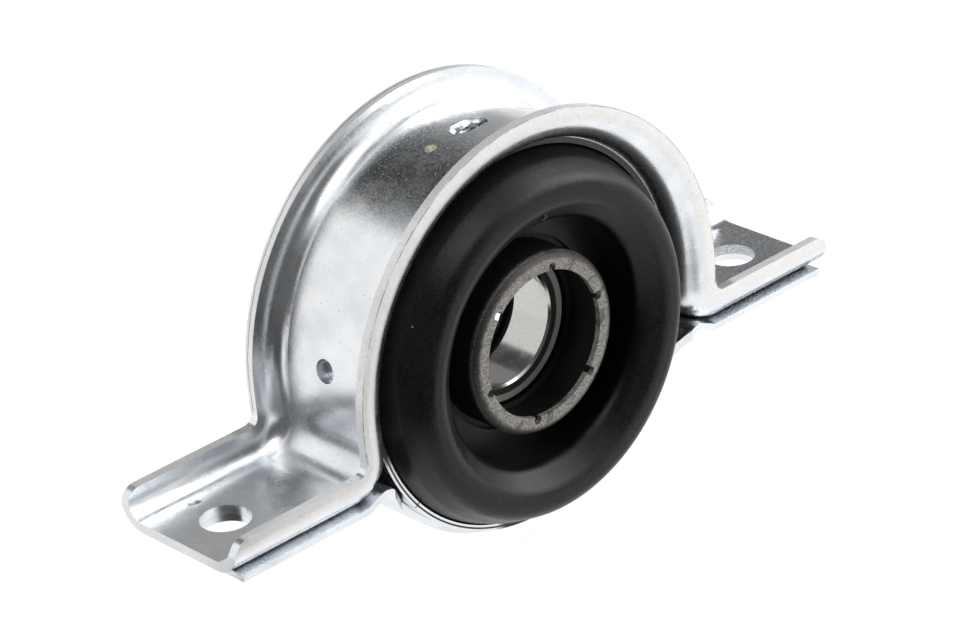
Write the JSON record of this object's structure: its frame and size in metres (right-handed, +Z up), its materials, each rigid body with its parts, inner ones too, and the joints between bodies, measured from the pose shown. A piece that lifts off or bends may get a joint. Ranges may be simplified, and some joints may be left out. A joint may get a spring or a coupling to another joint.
{
  "type": "driveshaft centre bearing",
  "caption": "Sealed ball bearing in a stepped housing, hung in a moulded rubber cushion inside a steel ring, under an arched channel bracket with two bolt-down feet.",
  "frame": {"origin": "centre of the bearing, on the shaft line and midway between the bearing's faces", "axes": "+X from foot to foot, +Y along the shaft towards the back, +Z up from the shaft to the top of the arch"},
  "size_m": [0.198, 0.0459, 0.1093],
  "materials": {
    "zinc_plate": "satin zinc plate",
    "housing_steel": "phosphated",
    "bearing_steel": "ground",
    "cushion_rubber": "satin moulded",
    "seal_rubber": "moulded",
    "cage_plastic": "moulded"
  },
  "bodies": {
    "housing": {"upper_bracket": "zinc_plate", "lower_bracket": "zinc_plate", "outer_ring": "zinc_plate", "plug_weld": "zinc_plate", "rubber_cushion": "cushion_rubber", "inner_sleeve": "housing_steel", "bearing_outer_race": "bearing_steel", "bearing_seal_front": "seal_rubber", "bearing_seal_rear": "seal_rubber", "front_dust_seal": "seal_rubber", "rear_dust_seal": "seal_rubber"},
    "inner_race": {"bearing_inner_race": "bearing_steel"},
    "cage": {"ball_cage": "cage_plastic", "ball_1": "bearing_steel", "ball_2": "bearing_steel", "ball_3": "bearing_steel", "ball_4": "bearing_steel", "ball_5": "bearing_steel", "ball_6": "bearing_steel", "ball_7": "bearing_steel", "ball_8": "bearing_steel", "ball_9": "bearing_steel", "ball_10": "bearing_steel", "ball_11": "bearing_steel"}
  },
  "joints": [
    {"name": "inner_race_spin", "type": "hinge", "parent": "housing", "child": "inner_race", "pos_m": [0, 0, 0], "axis": [0, 1, 0], "continuous": true},
    {"name": "cage_spin", "type": "hinge", "parent": "housing", "child": "cage", "pos_m": [0, 0, 0], "axis": [0, 1, 0], "continuous": true}
  ],
  "couplings": [
    {"joint": "cage_spin", "follows": "inner_race_spin", "ratio": 0.41596}
  ]
}
